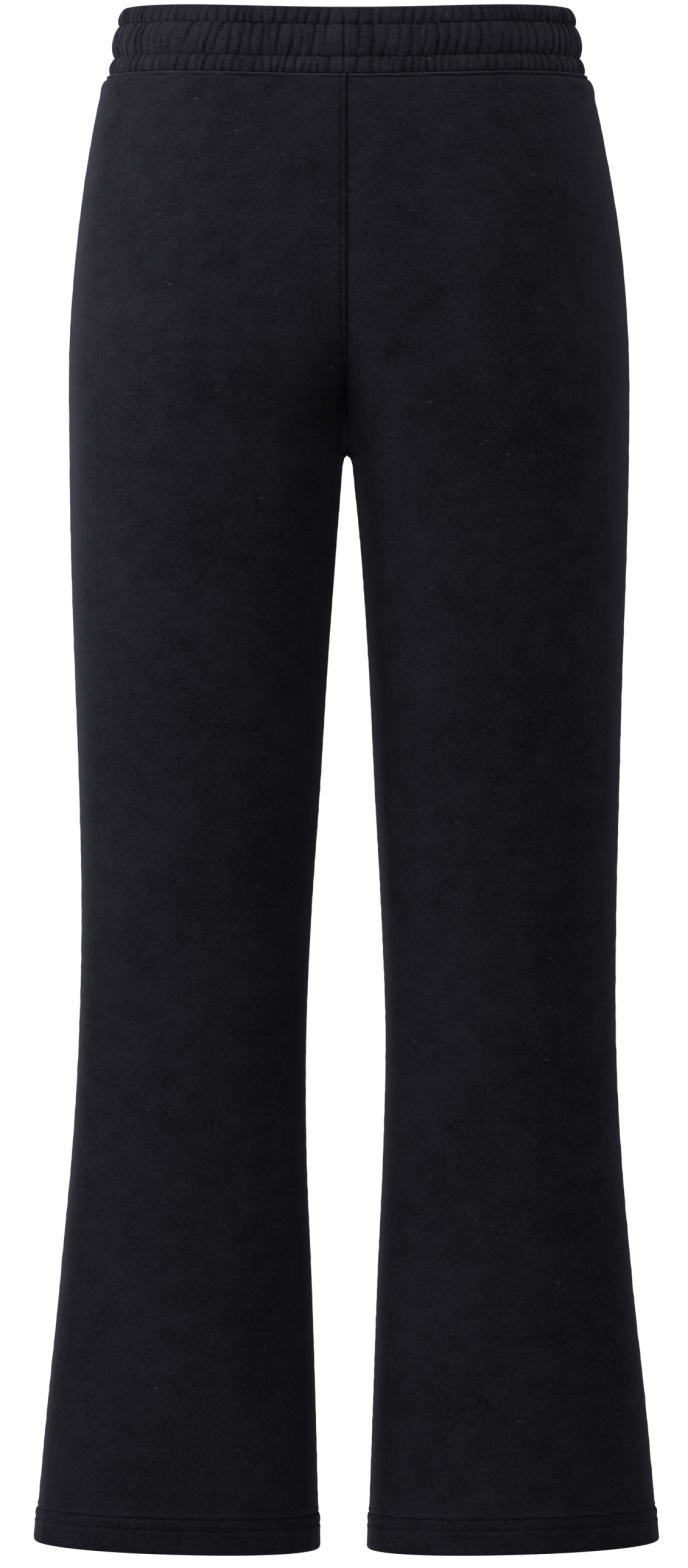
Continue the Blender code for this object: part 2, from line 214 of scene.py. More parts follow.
# Soft folds, listed for each panel. Each row is how far across and how high the fold
# starts and ends, its half width, and how far it stands out or, below zero, sinks in.
FOLDS = {
    "back_panel_left": (
        (-0.150, -0.520, -0.149, -0.800, 0.012, 0.0011),
        (-0.176, -0.720, -0.190, -0.985, 0.010, 0.0008),
        (-0.050, -0.700, -0.054, -0.960, 0.013, -0.0012),
        (-0.112, -0.050, -0.098, -0.330, 0.014, -0.0008),
        (-0.142, -0.120, -0.150, -0.420, 0.016, 0.0008),
        (-0.014, -0.262, -0.052, -0.222, 0.007, -0.0009),
        (-0.100, -0.420, -0.092, -0.620, 0.015, -0.0006),
    ),
    "back_panel_right": (
        (0.062, -0.420, 0.058, -0.640, 0.010, 0.0009),
        (0.152, -0.560, 0.166, -0.780, 0.012, 0.0009),
        (0.100, -0.480, 0.112, -0.700, 0.016, -0.0008),
        (0.178, -0.760, 0.193, -0.980, 0.010, 0.0007),
        (0.018, -0.240, 0.095, -0.150, 0.009, -0.0008),
        (0.022, -0.268, 0.105, -0.205, 0.010, 0.0007),
        (0.120, -0.060, 0.104, -0.260, 0.015, -0.0006),
    ),
    "front_panel_left": (
        (-0.020, -0.262, -0.090, -0.180, 0.008, -0.0010),
        (-0.024, -0.286, -0.104, -0.232, 0.010, 0.0008),
        (-0.148, -0.480, -0.144, -0.760, 0.013, 0.0010),
        (-0.060, -0.560, -0.056, -0.860, 0.014, -0.0011),
        (-0.180, -0.740, -0.192, -0.990, 0.011, 0.0008),
        (-0.110, -0.050, -0.120, -0.220, 0.014, -0.0007),
    ),
    "front_panel_right": (
        (0.018, -0.256, 0.076, -0.196, 0.008, -0.0010),
        (0.026, -0.290, 0.112, -0.250, 0.010, 0.0007),
        (0.140, -0.440, 0.150, -0.690, 0.013, 0.0010),
        (0.064, -0.600, 0.052, -0.880, 0.013, -0.0010),
        (0.174, -0.700, 0.190, -0.980, 0.011, 0.0007),
        (0.124, -0.060, 0.112, -0.240, 0.015, -0.0007),
    ),
}

CUT_APART = 1.3  # how far apart on the cloth the left and right pieces are cut
SEAM_ROLL = 0.0016  # radius at which the cloth turns in at a seam
ALLOWANCE = (0.0078, 0.0013)  # width and thickness of an overlocked seam allowance
ALLOWANCE_SHIFT = 0.0024  # how far an allowance lies over to one side of its seam

# The lamps: the setting that powers each, its place, the place it is aimed at, and its size.
LAMPS = (
    ("key", (-0.95, -0.32, 0.22), (-0.15, 0.0, -0.22), 0.5),
    ("low", (-1.0, -0.45, -0.45), (-0.15, 0.0, -0.6), 0.5),
    ("left_front", (-0.8, -1.0, 0.25), (-0.1, 0.0, -0.25), 0.6),
    ("left_top", (-0.9, -1.9, 1.6), (0.0, 0.0, -0.1), 1.2),
    ("top", (0.0, -0.6, 1.5), (0.0, 0.0, -0.1), 1.0),
    ("fill", (1.1, -0.9, 0.2), (0.1, 0.0, -0.3), 0.6),
    ("waist", (0.36, -0.14, 0.20), (0.17, 0.0, 0.0), 0.12),
    ("left_rim", (-1.1, 2.0, -0.1), (0.0, 0.0, -0.4), 0.8),
    ("right_rim", (1.8, 0.9, -0.1), (0.0, 0.0, -0.4), 0.8),
)

WAVE = 0.314  # length of a wave texture's wave, at a scale of 1
FILM = 36.0  # width of the camera's film, in millimetres
VIEW_WIDTH = 1.082  # how wide the camera's view is at the garment
CAMERA_PLACE = (-0.002, -0.350)  # how far across and how high the camera stands
CAMERA_DROP = 0.163  # how far its line of sight falls before it meets the garment
BACKDROP = 1.05  # how bright the backdrop looks to the camera
FLOOR_HALF = 60.0
FLOOR_TONES = (0.955, 0.975)
FLOOR_LIFT = 0.85  # how much brighter the floor looks to the camera than it lights the cloth

ANGLES = np.radians(np.linspace(0, 90, 241))  # where a quarter section has points
FLAT = 0.9999  # the share of its depth at which a section that crosses the middle starts


def rgb(name, description, default):
    """A colour that a user can change."""
    return FloatVectorProperty(
        name=name, description=description, subtype="COLOR", size=4, min=0, max=1,
        default=(*default, 1.0),
    )


def metres(name, description, default, least=0.0):
    """A length that a user can change."""
    return FloatProperty(
        name=name, description=description, subtype="DISTANCE", unit="LENGTH", min=least,
        default=default,
    )


def portion(name, description, default):
    """A share from 0 to 1 that a user can change."""
    return FloatProperty(
        name=name, description=description, subtype="FACTOR", min=0, max=1, default=default,
    )


def watts(name, description, default):
    """A lamp's power that a user can change."""
    return FloatProperty(
        name=name, description=description, subtype="POWER", unit="POWER", min=0,
        default=default,
    )


class SweatpantsFleece(bpy.types.PropertyGroup):
    """The cloth's colours and texture sizes."""

    dark: rgb(
        "Dark fleece", "Colour of the cloth where its fibres lie deepest", (0.0015, 0.0014, 0.0021),
    )
    light: rgb(
        "Light fleece", "Colour of the cloth where its nap is raised", (0.0100, 0.0097, 0.0131),
    )
    fleck: rgb(
        "Flecks", "Colour of the few pale fibre ends in the cloth", (0.014, 0.014, 0.018),
    )
    pile: rgb(
        "Brushed inside", "Colour of the brushed pile on the wrong side", (0.0160, 0.0150, 0.0200),
    )
    mottle: metres("Mottling", "Size of the soft lighter and darker patches", 0.015, 0.002)
    grain: metres("Grain", "Size of the short fibres that make the cloth's grain", 0.0022, 0.0002)
    wale: metres("Knit wales", "Distance between the knit's upright ribs", 0.0010, 0.0003)
    # Sheen weight of the fleece; its name is shared with the mesh attribute of painted shading.
    nap: portion("Nap sheen", "How much light the raised nap catches at the edges", 0.045)
    # Strength of the painted shading: how much darker painted shade makes seams, creases and the
    # crotch, and how much lighter a painted highlight makes lips, puffs and ridges.
    painted_light_strength: portion(
        "Crease shade", "How much darker crowded fibres are, and raised lighter", 0.58,
    )


class SweatpantsGathers(bpy.types.PropertyGroup):
    """The waistband's gathers."""

    depth: metres("Crease depth", "How deep a main crease sinks between two gathers", 0.0012)
    width: metres("Crease width", "Half the width of a crease", 0.0013, 0.0003)
    pitch: metres(
        "Gather spacing", "Usual distance between gathers out of sight at front", 0.0072, 0.003,
    )


class SweatpantsStitching(bpy.types.PropertyGroup):
    """The thread and the rows it is sewn in."""

    pitch: metres("Stitch length", "Distance from one stitch to the next", 0.0032, 0.001)
    thread: metres("Thread", "Thickness of the thread", 0.00042, 0.0001)
    gauge: metres("Hem rows apart", "Distance between a hem's two stitched rows", 0.0070, 0.001)
    seat: metres(
        "Seat topstitch", "How far the rise's topstitching is from its seam", 0.0042, 0.001,
    )
    colour: rgb("Thread colour", "Colour of the thread", (0.0026, 0.0025, 0.0038))


class SweatpantsStage(bpy.types.PropertyGroup):
    """The floor, the lights and the camera."""

    drop: metres("Floor below hems", "How far the floor lies below the hems", 0.31)
    distance: metres("Camera distance", "How far the camera stands from the garment", 6.0, 1)
    glow: FloatProperty(
        name="Glow", description="Strength of the even light from all round", min=0, default=0.18,
    )
    key: watts("Key light", "Power of the soft light on the left, at hip height", 20.0)
    low: watts("Low light", "Power of the light on the left, at knee height", 8.0)
    left_front: watts("Left front light", "Power of the light in front on the left", 6.0)
    left_top: watts("Left top light", "Power of the wide light above, in front on the left", 36.0)
    top: watts("Top light", "Power of the wide light above, a little in front", 22.0)
    fill: watts("Fill light", "Power of the light in front on the right", 11.0)
    waist: watts("Waist light", "Power of the small light close to the waistband's right end", 0.6)
    left_rim: watts("Left rim light", "Power of the light behind on the left", 80.0)
    right_rim: watts("Right rim light", "Power of the light behind on the right", 20.0)


def settings():
    """All of the garment's settings, in the scene being made."""
    return bpy.context.scene.sweatpants


def smooth(at, levels, values):
    """A value at each level, from a cubic curve through a table's rows."""
    slopes = np.gradient(values, levels)
    at = np.clip(at, levels[0], levels[-1])
    row = np.clip(np.searchsorted(levels, at) - 1, 0, len(levels) - 2)
    span = levels[row + 1] - levels[row]
    t = (at - levels[row]) / span
    start = (2 * t**3 - 3 * t**2 + 1) * values[row] + (t**3 - 2 * t**2 + t) * span * slopes[row]
    end = (3 * t**2 - 2 * t**3) * values[row + 1] + (t**3 - t**2) * span * slopes[row + 1]
    return start + end


def form(column, level):
    """One column of FORM at each level."""
    table = np.array(FORM)[::-1]
    return smooth(level, table[:, 0], table[:, FORM_COLUMNS.index(column)])


def quarter(power, start=0.0):
    """A quarter of a superellipse of size 1 from (1, 0) to (0, 1), none of it under start."""
    first = np.arctan2(start, (1 - start**power) ** (1 / power))
    turn = np.maximum(ANGLES, first)
    c, s = np.cos(turn), np.sin(turn)
    size = (np.abs(c) ** power + s**power) ** (-1 / power)
    return size * c, size * s


def half_section(levels, side, face, flat=False):
    """The outer line of a leg's half at each level, from its inner seam to its side seam.

    Both arrays have a row for each level, and are distances from the middle. A flat line
    crosses the middle without the rise seam's dip.
    """
    levels = np.asarray(levels, float)[:, None]
    depth, crown, inner = (form(key, levels) for key in (face, f"{face}_crown", f"{side}_inseam"))
    arch = np.clip((CROTCH - levels) / ARCH_DEPTH, 0, 1)
    seam_x = np.where(levels < CROTCH, inner * np.sqrt(1 - (1 - arch) ** 2), 0.0)
    rise = 1 - np.exp(np.minimum(CROTCH - levels, 0) / RISE_CURVE[face])
    seam_y = FLAT * depth if flat else (depth - RISE_DIP) * rise
    across, along = quarter(form("inner_power", levels), seam_y / depth)
    across = across / across[:, :1]
    inner_x = crown - (crown - inner) * across - (inner - seam_x) * across**ARCH_NEARNESS
    outer_along, outer_across = quarter(OUTER_POWER)
    outer_x = crown + (form(f"{side}_side", levels) - crown) * outer_across
    outer_y = depth * outer_along
    return np.hstack([inner_x, outer_x[:, 1:]]), np.hstack([depth * along, outer_y[:, 1:]])


def lengths(line):
    """How far along a line each of its points lies."""
    return np.append(0.0, np.cumsum(np.hypot.reduce(np.diff(line, axis=0), axis=1)))


def unit(ways):
    """Each direction, at length 1."""
    return ways / np.linalg.norm(ways, axis=-1, keepdims=True)


def run_of(points, closed):
    """The way along a row of points, which runs on through its ends where the row closes."""
    run = np.gradient(points, axis=0)
    if closed:
        run[0] = run[-1] = points[1] - points[-2]
    return run


def flat_map(across, along):
    """A UV map from places across and along the flat cloth."""
    return np.stack(np.broadcast_arrays(across, along), axis=-1)


def resampled(lines, steps):
    """Each line's points at its own steps along it."""
    places = []
    for line, at in zip(lines, steps):
        along = lengths(line)
        places.append(np.column_stack([np.interp(at, along, values) for values in line.T]))
    return np.array(places)


def warped(points):
    """The points once the waist has sagged at its middle and the hems have tilted."""
    x, y, level = np.moveaxis(points, -1, 0)
    back = y < 0
    sag = np.where(back, WAIST_SAG["back"], WAIST_SAG["front"])
    depth = np.where(back, form("back", level), form("front", level))
    middle = np.clip(1 - (x / WAIST_SAG_REACH) ** 2, 0, 1) ** 2 * np.minimum(abs(y) / depth, 1)
    waist = np.clip(1 - np.maximum(WAIST_SEAM - level, 0) / WAIST_SAG_FADE, 0, 1)
    hem = np.clip(1 - (level - HEM_FOLD) / HEM_TILT_FADE, 0, 1)
    tilt = abs(x) / form("back_crown", level) - 1
    return np.stack([x, y, level - sag * middle * waist**2 + HEM_TILT * tilt * hem**2], axis=-1)


def outward(points, turn):
    """The way out of a grid of points, by the directions of its rows and columns."""
    return unit(np.cross(np.gradient(points, axis=1), np.gradient(points, axis=0)) * turn)


def mound(at, middle, width):
    """A smooth hump of height 1."""
    return np.exp(-(((at - middle) / width) ** 2))


def rolled_edge(gap):
    """How far the cloth's face drops as it turns in at a seam, by the distance from the seam."""
    return -SEAM_ROLL * (1 - np.sqrt(1 - np.clip(1 - gap / SEAM_ROLL, 0, 1) ** 2))


def wander(along, waves, seed):
    """An uneven wave of about -1 to 1, from sine waves of the given lengths."""
    phases = np.random.default_rng(seed).uniform(0, 2 * math.pi, len(waves))
    pairs = zip(waves, phases)
    return sum(np.sin(2 * math.pi * along / wave + phase) for wave, phase in pairs) / len(waves)


def dimples(along, pitch):
    """Where stitches pull the cloth down along a row, from 0 to 1 at each needle hole."""
    return (0.5 + 0.5 * np.cos(2 * math.pi * along / pitch)) ** 3


def grid_piece(name, points, uv, materials, turn=1, nap=None):
    """A piece of cloth on a grid, whose UV map gives each point's place on the flat cloth.

    Points have rows from low to high and columns across. Where the grid closes on itself its
    points are joined. A turn below zero faces it the other way. The painted shading at each
    point is painted shade down to -1 in a crease or seam, and painted highlight up to 1.
    """
    rows, columns = points.shape[0] - 1, points.shape[1] - 1
    bm = bmesh.new()
    bm.loops.layers.uv.new("cloth")
    bmesh.ops.create_grid(bm, x_segments=columns, y_segments=rows, size=0.5, calc_uvs=True)
    mesh = bpy.data.meshes.new(name)
    bm.to_mesh(mesh)
    flat = np.empty(len(mesh.vertices) * 3)
    mesh.vertices.foreach_get("co", flat)
    column, row = (np.rint((flat.reshape(-1, 3)[:, :2] + 0.5) * (columns, rows)).astype(int)).T
    mesh.vertices.foreach_set("co", points[row, column].ravel())
    if nap is not None:
        # Painted shading: painted shade and painted highlight that the fleece scales its colour by.
        painted_light_and_shade = mesh.attributes.new("nap", "FLOAT", "POINT")
        painted_light_and_shade.data.foreach_set("value", np.broadcast_to(nap, points.shape[:2])[row, column])
    corner = np.empty(len(mesh.loops), int)
    mesh.loops.foreach_get("vertex_index", corner)
    mesh.uv_layers["cloth"].data.foreach_set("uv", uv[row, column][corner].ravel())
    bm.clear()
    bm.from_mesh(mesh)
    bmesh.ops.remove_doubles(bm, verts=bm.verts, dist=0.00001)
    if turn < 0:
        bmesh.ops.reverse_faces(bm, faces=bm.faces)
    bm.to_mesh(mesh)
    bm.free()
    mesh.shade_smooth()
    for material in materials:
        mesh.materials.append(material)
    piece = bpy.data.objects.new(name, mesh)
    bpy.context.scene.collection.objects.link(piece)
    return piece


def feed(tree, made, inputs):
    """Gives a node its input values, or links them where another node makes them."""
    for key, value in inputs.items():
        if isinstance(value, bpy.types.NodeSocket):
            tree.links.new(value, made.inputs[key])
        else:
            made.inputs[key].default_value = value


def node(tree, kind, inputs=None, **facts):
    """A shader node with its properties and its input values or links."""
    made = tree.nodes.new("ShaderNode" + kind)
    for key, value in facts.items():
        setattr(made, key, value)
    feed(tree, made, inputs or {})
    return made


def blend(tree, factor, first, second):
    """A colour between two others."""
    inputs = {0: factor, 6: first, 7: second}
    return node(tree, "Mix", inputs, data_type="RGBA").outputs[2]


def times(tree, first, second):
    """One value times another."""
    return node(tree, "Math", {0: first, 1: second}, operation="MULTIPLY").outputs[0]


def added(tree, first, second, weight):
    """One value with a weighted second one added."""
    inputs = {0: second, 1: weight, 2: first}
    return node(tree, "Math", inputs, operation="MULTIPLY_ADD").outputs[0]


def noise(tree, vector, scale, detail, **more):
    """Soft random patches along a vector, from 0 to 1."""
    inputs = {"Vector": vector, "Scale": scale, "Detail": detail, **more}
    return node(tree, "TexNoise", inputs).outputs["Fac"]


def bumped(tree, height, strength, distance):
    """A surface direction bent by a height."""
    inputs = {"Height": height, "Strength": strength, "Distance": distance}
    return node(tree, "Bump", inputs).outputs["Normal"]


def flat_cloth(tree):
    """Each point's place on the flat cloth."""
    return node(tree, "UVMap", uv_map="cloth").outputs["UV"]


def new_material(name):
    """A material with a single Principled shader, and the tree it is in."""
    material = bpy.data.materials.new(name)
    material.use_nodes = True
    return material, material.node_tree, material.node_tree.nodes["Principled BSDF"]


def fleece(name):
    """The cloth's right side: mottled, grained and flecked, with a faint knit, a nap sheen, and
    painted shade and highlight.
    """
    look = settings().fleece
    material, tree, shader = new_material(name)
    cloth = flat_cloth(tree)

    def stretched(scale):
        """The flat cloth, stretched by a scale."""
        return node(tree, "Mapping", {"Vector": cloth, "Scale": scale}).outputs["Vector"]

    def patchy(size, detail=2.0, stretch=(1, 1, 1), roughness=0.55):
        """Soft patches of a size on the flat cloth."""
        return noise(tree, stretched(stretch), 1 / size, detail, Roughness=roughness)

    def mapped(value, low, high, to_low=0.0, to_high=1.0):
        """A value moved from one range to another."""
        inputs = {
            "Value": value, "From Min": low, "From Max": high, "To Min": to_low, "To Max": to_high,
        }
        return node(tree, "MapRange", inputs).outputs["Result"]

    def mixed(parts):
        """Values added up, each with its weight."""
        (first, weight), *others = parts
        total = times(tree, first, weight)
        for value, weight in others:
            total = added(tree, total, value, weight)
        return total

    patches = mapped(patchy(look.mottle, 3.0), 0.3, 0.7)
    broad = mapped(patchy(look.mottle * 5, 1.0), 0.35, 0.65)
    grain = mapped(patchy(look.grain, 3.0, (0.8, 1.0, 1.0), 0.62), 0.3, 0.7)
    fibre = mapped(patchy(look.grain * 0.4, 2.0, (1.0, 0.6, 1.0)), 0.3, 0.7)
    wales = node(
        tree, "TexWave",
        {"Vector": cloth, "Scale": WAVE / look.wale, "Distortion": 5.0, "Detail": 3.0,
         "Detail Scale": 1.8},
        wave_type="BANDS", bands_direction="X",
    ).outputs["Fac"]
    shade = mixed(((patches, 0.21), (broad, 0.10), (grain, 0.42), (fibre, 0.12), (wales, 0.05)))
    tint = blend(tree, shade, look.dark, look.light)
    cast = patchy(look.grain * 1.6, 1.0)
    cast = blend(tree, cast, (1.12, 0.93, 1.0, 1.0), (0.88, 1.07, 1.0, 1.0))
    tint = node(tree, "VectorMath", {0: tint, 1: cast}, operation="MULTIPLY").outputs[0]

    # Painted shade and painted highlight: the colour is scaled down in seams, grooves, creases and
    # the crotch, and up on lips, puffs and ridges, by the mesh's painted shading.
    painted_light_and_shade = node(tree, "Attribute", attribute_name="nap").outputs["Fac"]
    painted_light_and_shade = mapped(painted_light_and_shade, -1.0, 1.0, 1 - look.painted_light_strength, 1 + look.painted_light_strength)
    tint = node(tree, "VectorMath", {0: tint, 3: painted_light_and_shade}, operation="SCALE").outputs[0]

    spots = {"Vector": stretched((0.62, 1.0, 1.0)), "Scale": 85.0}
    ends = node(tree, "TexVoronoi", spots, feature="F1")
    near = mapped(ends.outputs["Distance"], 0.115, 0.020)
    kind = node(tree, "SeparateColor", {0: ends.outputs["Color"]}).outputs[0]
    fleck = times(tree, near, mapped(kind, 0.45, 1.0))

    height = mixed(((grain, 0.55), (fibre, 0.30), (wales, 0.05), (patches, 0.35)))
    height = added(tree, height, fleck, 0.3)
    feed(tree, shader, {
        "Base Color": blend(tree, fleck, tint, look.fleck),
        "Normal": bumped(tree, height, 0.42, 0.0007),
        "Roughness": mapped(grain, 0.0, 1.0, 0.98, 0.86),
        "Specular IOR Level": 0.0,
        "Sheen Weight": look.nap,
        "Sheen Roughness": 0.34,
        "Sheen Tint": (0.78, 0.78, 1.0, 1.0),
    })
    material.diffuse_color = look.light
    return material


def brushed_pile(name):
    """The cloth's wrong side, brushed into a short soft pile that lies in clumps."""
    look = settings().fleece
    material, tree, shader = new_material(name)
    cloth = flat_cloth(tree)
    clumps = node(tree, "TexVoronoi", {"Vector": cloth, "Scale": 420.0}, feature="SMOOTH_F1")
    hair = added(tree, noise(tree, cloth, 900.0, 4.0), clumps.outputs["Distance"], 0.5)
    shade = times(tree, hair, noise(tree, cloth, 55.0, 2.0))
    feed(tree, shader, {
        "Base Color": blend(tree, shade, look.dark, look.pile),
        "Normal": bumped(tree, hair, 0.7, 0.0011),
        "Roughness": 0.97,
        "Specular IOR Level": 0.0,
        "Sheen Weight": look.nap,
        "Sheen Roughness": 0.5,
    })
    material.diffuse_color = look.pile
    return material


def twisted_thread(name):
    """Polyester thread, whose two plies show as fine slanting lines, with painted shade between
    them.
    """
    material, tree, shader = new_material(name)
    place = node(tree, "TexCoord").outputs["Object"]
    plies = node(
        tree, "TexWave", {"Vector": place, "Scale": 900.0, "Distortion": 1.0},
        wave_type="BANDS", bands_direction="DIAGONAL",
    ).outputs["Fac"]
    colour = settings().stitching.colour
    # Painted shade: half the thread's colour in the grooves between its plies.
    ply_groove_shade = tuple(0.5 * part for part in colour[:3]) + (1.0,)
    feed(tree, shader, {
        "Base Color": blend(tree, plies, ply_groove_shade, colour),
        "Normal": bumped(tree, plies, 0.5, 0.0001),
        "Roughness": 0.7,
        "Specular IOR Level": 0.01,
        "Sheen Weight": 0.01,
    })
    material.diffuse_color = colour
    return material


def overlocked_edge(name):
    """A seam allowance wrapped in overlock thread, whose loops lie close side by side."""
    look = settings().fleece
    material, tree, shader = new_material(name)
    cloth = flat_cloth(tree)
    loops = node(
        tree, "TexWave",
        {"Vector": cloth, "Scale": 180.0, "Distortion": 1.2, "Detail": 1.0, "Detail Scale": 60.0},
        wave_type="BANDS", bands_direction="Y",
    ).outputs["Fac"]
    fuzzy = times(tree, loops, noise(tree, cloth, 700.0, 3.0))
    feed(tree, shader, {
        "Base Color": blend(tree, fuzzy, look.dark, look.pile),
        "Normal": bumped(tree, fuzzy, 0.8, 0.0005),
        "Roughness": 0.8,
        "Specular IOR Level": 0.05,
    })
    material.diffuse_color = look.pile
    return material


def shared(name, make):
    """The material of that name, made the first time it is asked for."""
    return bpy.data.materials.get(name) or make(name)


def edge_steps(total, near, middle_count, far):
    """Steps along a line of some length that keep set distances from its two ends."""
    middle = np.linspace(near[-1], total - far[-1], middle_count)[1:-1]
    return np.concatenate([near, middle, total - np.array(far)[::-1]])


def panel_levels():
    """The levels of a panel's rows, closest at the hem, the crotch and the waist."""
    hem, top = HEM_SEAM + 0.00003, WAIST_SEAM + 0.0001
    return np.concatenate([
        hem + np.array(HEM_ROWS),
        np.linspace(hem + 0.0075, CROTCH - 0.014, LEG_ROWS),
        CROTCH - ARCH_DEPTH * np.linspace(1.15, 0, 11)[:-1] ** 2,
        CROTCH + np.linspace(0, 0.016, 12)[:-1],
        np.linspace(CROTCH + 0.016, top - 0.026, SEAT_ROWS),
        top - np.linspace(0.0238, 0.0095, 9),
        top - np.linspace(0.0085, 0, 20),
    ])


def fold_relief(name, points):
    """How far the listed folds lift a panel's points, or sink them."""
    x, level = points[..., 0], points[..., 2]
    relief = np.zeros(x.shape)
    for x0, z0, x1, z1, width, height in FOLDS[name]:
        run = np.array([x1 - x0, z1 - z0])
        size = np.hypot(*run)
        along = ((x - x0) * run[0] + (level - z0) * run[1]) / size**2
        across = ((x - x0) * run[1] - (level - z0) * run[0]) / size
        bend = 0.35 * width * np.sin(3.1 * along * math.pi + 10 * x0)
        fade = np.sin(math.pi * np.clip(along, 0, 1)) ** 0.8
        relief += height * fade * mound(across, bend, width)
    return relief


def panel_relief(name, side, points, inner, outer):
    """How far out each point of a panel stands from the form, and its painted shade and highlight.

    Inner and outer are how far each point is along the cloth from its two long seams.
    """
    sewing = settings().stitching
    level = points[..., 2]
    seed = sum(map(ord, name))
    below = WAIST_SEAM - level
    above = level - HEM_SEAM
    across = inner * SIGN[side]

    # The two long seams: rolled edges, painted shade along them, and a slight unevenness along
    # them.
    relief = (1 - mound(level, CROTCH, CROTCH_EASE)) * rolled_edge(inner) + rolled_edge(outer)
    nap = -0.9 * np.exp(-inner / 0.0011) - 0.6 * np.exp(-outer / 0.0009)
    # A painted highlight just under the fork, which hides a shaded crease there.
    nap += 0.5 * np.exp(-inner / 0.020) * mound(level, FORK - 0.0007, 0.0010)
    # Painted shade round the crotch on the left; on the right, a painted highlight beside the seam
    # and painted shade further out.
    if side == "left":
        nap -= 1.6 * np.exp(-inner / 0.045) * mound(level, CROTCH + 0.008, 0.050)
    else:
        crotch_painted_shading = 0.7 * np.exp(-inner / 0.014) - 0.45 * np.exp(-inner / 0.090)
        nap += crotch_painted_shading * mound(level, CROTCH + 0.010, 0.050)
    relief += 0.00028 * wander(level, (0.009, 0.014, 0.023), seed) * np.exp(-inner / 0.007)
    relief += 0.00030 * wander(level, (0.010, 0.017, 0.029), seed + 1) * np.exp(-outer / 0.008)

    # The waist seam: a puffed lip just under it, and a groove under the lip. The lip gets a painted
    # highlight, and the seam and the groove get painted shade.
    lip_level = 0.0013 + 0.0003 * wander(across, (0.021, 0.047, 0.09), seed + 2)
    groove_level = lip_level + 0.0016
    groove = wander(across, (0.030, 0.071, 0.13), seed + 3)
    groove = 1.0 + 0.35 * groove if side == "right" else np.maximum(0.50 + 0.9 * groove, 0)
    puff = 1 + 0.45 * wander(across, (0.019, 0.033, 0.060), seed + 4)
    lip = 0.0005 * puff * mound(below, lip_level, 0.0009)
    relief += 0.5 * rolled_edge(np.maximum(below, 0)) + lip
    relief -= 0.0009 * groove * mound(below, groove_level, 0.0007)
    # Painted highlight on the lip, painted shade along the seam and in the groove.
    nap += 1.0 * (puff - 0.2) * mound(below, lip_level, 0.0008) - 0.1 * np.exp(-abs(below) / 0.0005)
    nap -= 1.4 * groove * mound(below, groove_level, 0.0006)
    relief += 0.0007 * puff * mound(below, 0.0085, 0.0060)

    # Short creases that run down from the waist seam, where the elastic draws the cloth in.
    chance = np.random.default_rng(seed)
    start = 0.004
    while start < inner.max() - 0.006:
        depth, reach = chance.uniform(0.0001, 0.0007), chance.uniform(0.006, 0.020)
        lean, width = chance.uniform(-0.35, 0.35), chance.uniform(0.0016, 0.0032)
        drift = start + lean * below
        relief -= depth * np.exp(-np.maximum(below, 0) / reach) * mound(inner, drift, width)
        start += chance.uniform(0.006, 0.015)

    # The leg's end at the hem: drawn in at each stitch, and puffed just above. The stitch dimples
    # get painted shade and the puff a painted highlight.
    relief -= 0.0002 * np.exp(-((np.maximum(above, 0) / 0.0008) ** 1.5))
    relief += 0.0005 * mound(above, 0.0022, 0.0013)
    nap -= 0.6 * dimples(inner + 0.0016, sewing.pitch) * mound(above, 0, 0.0008)
    nap += 0.30 * mound(above, 0.0022, 0.0013)

    # The topstitched strip beside the rise seam, with a painted highlight on the strip and painted
    # shade along its stitched row.
    if side == "left":
        rise = 0.5 + 0.5 * np.tanh((level - CROTCH - 0.004) / 0.003)
        strip = 0.5 - 0.5 * np.tanh((inner - sewing.seat) / 0.0007)
        sewn = mound(inner, sewing.seat, 0.0006)
        row = -(0.00030 + 0.00022 * dimples(level, sewing.pitch)) * sewn
        relief += rise * (0.0005 * strip + row)
        # Painted highlight on the strip, painted shade along the row.
        nap += rise * (0.12 * strip - 0.55 * sewn)
    return relief + fold_relief(name, points), np.clip(nap, -1, 1)


def build_panel(side, face):
    """A leg's front or back panel, with its cloth's thickness going inwards."""
    name = f"{face}_panel_{side}"
    levels = panel_levels()
    x, y = half_section(levels, side, face)
    lines = np.stack([x * SIGN[side], y * SIGN[face]], axis=-1)
    steps = np.array([
        edge_steps(lengths(line)[-1], INNER_COLUMNS, MIDDLE_COLUMNS, OUTER_COLUMNS)
        for line in lines
    ])
    flat = resampled(lines, steps)
    flat[..., 0] = SIGN[side] * np.maximum(abs(flat[..., 0]), 0.05 * SEAM_GAP)
    flat[..., 1] = SIGN[face] * np.maximum(abs(flat[..., 1]), SEAM_GAP / 2)
    points = np.dstack([flat, np.broadcast_to(levels[:, None], flat.shape[:2])])
    shut = 0.5 * SEAM_GAP * (1 - 0.9 * mound(levels, CROTCH, CROTCH_EASE))[:, None]
    turn = SIGN[side] * SIGN[face]
    inner, outer = steps, steps[:, -1:] - steps
    relief, nap = panel_relief(name, side, points, inner, outer)
    out = outward(points, -turn)
    points = warped(points + out * relief[..., None])
    points[..., 0] = SIGN[side] * np.maximum(abs(points[..., 0]), shut)
    open_by = np.maximum(abs(points[:, :1, 0]) - shut, 0)
    closed = 0.5 + 0.5 * np.tanh((levels[:, None] - FORK) / 0.0003)
    points[..., 0] -= SIGN[side] * open_by * closed * np.exp(-inner / 0.006)
    laid = turn * outer + CUT_APART * (side == "right")
    uv = flat_map(laid, levels[:, None])
    materials = [shared("napped_fleece", fleece), shared("brushed_pile", brushed_pile)]
    panel = grid_piece(name + "_cloth", points, uv, materials, -turn, nap)
    wall = panel.modifiers.new("cloth", "SOLIDIFY")
    wall.thickness = CLOTH
    wall.offset = -1.0
    wall.material_offset = 1
    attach(panel, "root")
    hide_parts(name)
    return panel


